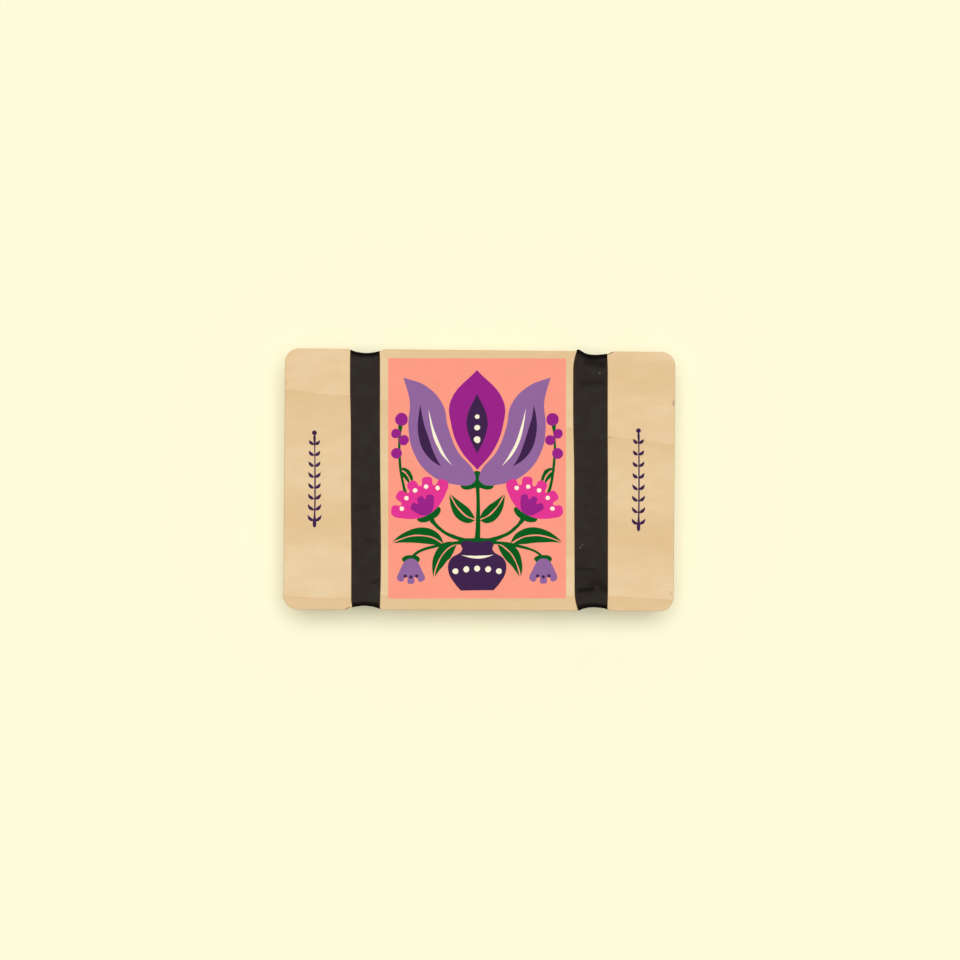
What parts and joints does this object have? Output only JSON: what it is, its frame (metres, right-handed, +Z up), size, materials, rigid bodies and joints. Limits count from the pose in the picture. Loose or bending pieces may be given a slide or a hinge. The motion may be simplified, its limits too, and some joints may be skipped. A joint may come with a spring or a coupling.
{
  "type": "flower press",
  "caption": "Pocket flower press: notched plywood boards clamp corrugated cards and blotting papers, held shut by wide rubber bands.",
  "frame": {"origin": "middle of the press, on the surface that it lies on", "axes": "+X along the long side of the boards, +Y along the short side that the bands run along, +Z up out of the printed top board"},
  "size_m": [0.18, 0.123, 0.025],
  "materials": {
    "plywood": "birch plywood, sanded and clear oiled",
    "rubber": "smooth matt black rubber",
    "corrugated_card": "brown kraft, uncoated",
    "blotting_paper": "soft unsized blotting paper",
    "salmon_ink": "matt screen-printed ink",
    "purple_ink": "matt screen-printed ink",
    "magenta_ink": "matt screen-printed ink",
    "green_ink": "matt screen-printed ink",
    "violet_ink": "matt screen-printed ink",
    "plum_ink": "matt screen-printed ink",
    "cream_ink": "matt screen-printed ink"
  },
  "bodies": {
    "base": {"bottom_board": "plywood", "card_1": "corrugated_card", "blotter_1": "blotting_paper"},
    "leaf_1": {"blotter_2": "blotting_paper", "card_2": "corrugated_card", "blotter_3": "blotting_paper"},
    "leaf_2": {"blotter_4": "blotting_paper", "card_3": "corrugated_card", "blotter_5": "blotting_paper"},
    "leaf_3": {"blotter_6": "blotting_paper", "card_4": "corrugated_card", "blotter_7": "blotting_paper"},
    "leaf_4": {"blotter_8": "blotting_paper", "card_5": "corrugated_card", "blotter_9": "blotting_paper"},
    "lid": {"blotter_10": "blotting_paper", "card_6": "corrugated_card", "top_board": "plywood"},
    "left_loop": {"left_band": "rubber"},
    "right_loop": {"right_band": "rubber"}
  },
  "joints": [
    {"name": "lid_lift", "type": "slide", "parent": "base", "child": "lid", "axis": [0, 0, 1], "range_m": [0, 0.02], "stiffness_N_per_m": 600, "springref_m": -0.02, "deforming": ["left_band", "right_band"]},
    {"name": "leaf_1_lift", "type": "slide", "parent": "base", "child": "leaf_1", "axis": [0, 0, 1], "range_m": [0, 0.004]},
    {"name": "leaf_2_lift", "type": "slide", "parent": "base", "child": "leaf_2", "axis": [0, 0, 1], "range_m": [0, 0.008]},
    {"name": "leaf_3_lift", "type": "slide", "parent": "base", "child": "leaf_3", "axis": [0, 0, 1], "range_m": [0, 0.012]},
    {"name": "leaf_4_lift", "type": "slide", "parent": "base", "child": "leaf_4", "axis": [0, 0, 1], "range_m": [0, 0.016]},
    {"name": "left_band_off", "type": "slide", "parent": "base", "child": "left_loop", "axis": [-1, 0, 0], "range_m": [0, 0.05], "deforming": ["left_band"]},
    {"name": "right_band_off", "type": "slide", "parent": "base", "child": "right_loop", "axis": [1, 0, 0], "range_m": [0, 0.05], "deforming": ["right_band"]}
  ],
  "couplings": [
    {"joint": "leaf_1_lift", "follows": "lid_lift", "ratio": 0.2},
    {"joint": "leaf_2_lift", "follows": "lid_lift", "ratio": 0.4},
    {"joint": "leaf_3_lift", "follows": "lid_lift", "ratio": 0.6},
    {"joint": "leaf_4_lift", "follows": "lid_lift", "ratio": 0.8}
  ]
}
